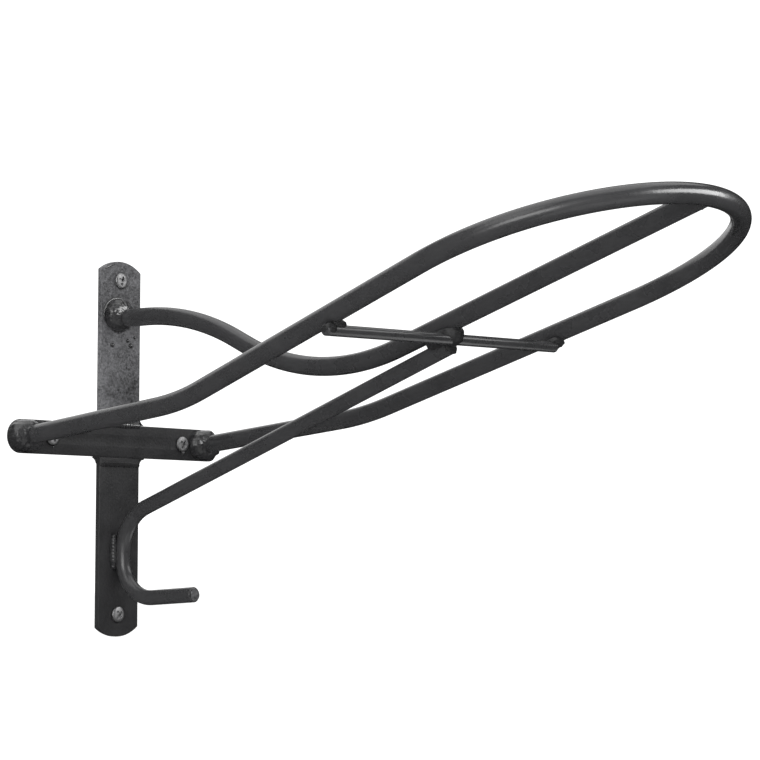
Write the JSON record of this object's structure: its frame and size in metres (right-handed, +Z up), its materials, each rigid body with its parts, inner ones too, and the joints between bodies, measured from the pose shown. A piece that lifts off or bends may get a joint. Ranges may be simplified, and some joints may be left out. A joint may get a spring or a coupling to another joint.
{
  "type": "wall saddle rack",
  "caption": "Welded steel wall saddle rack: bent rod loop and middle rod rising from a cross-shaped back plate, with a strut ending in a bridle hook.",
  "frame": {"origin": "on the upper plate's back face, in the wall plane, straight behind the root of the middle rod", "axes": "+Z up the wall, +Y into the wall, so the rack reaches out along -Y, and +X to the right seen from in front of the wall"},
  "size_m": [0.237, 0.4841, 0.2649],
  "materials": {
    "black_coat": "satin black powder coat over welded steel, light orange peel",
    "zinc_screw": "bright zinc-plated steel screw head, lightly scuffed"
  },
  "bodies": {
    "root": {"upper_plate": "black_coat", "lower_plate": "black_coat", "crossbar": "black_coat", "loop_rod": "black_coat", "middle_rod": "black_coat", "strut_hook_rod": "black_coat", "cross_brace": "black_coat", "screw_top": "zinc_screw", "screw_left": "zinc_screw", "screw_right": "zinc_screw", "screw_bottom": "zinc_screw", "weld_middle_root": "black_coat", "weld_left_root": "black_coat", "weld_right_root": "black_coat", "weld_brace_left": "black_coat", "weld_brace_right": "black_coat", "weld_brace_middle": "black_coat", "weld_nose": "black_coat", "weld_hook_left": "black_coat", "weld_hook_right": "black_coat", "weld_upper_seam": "black_coat", "weld_lower_seam": "black_coat", "weld_corner_upper_left": "black_coat", "weld_corner_upper_right": "black_coat", "weld_corner_lower_left": "black_coat", "weld_corner_lower_right": "black_coat"}
  },
  "joints": []
}
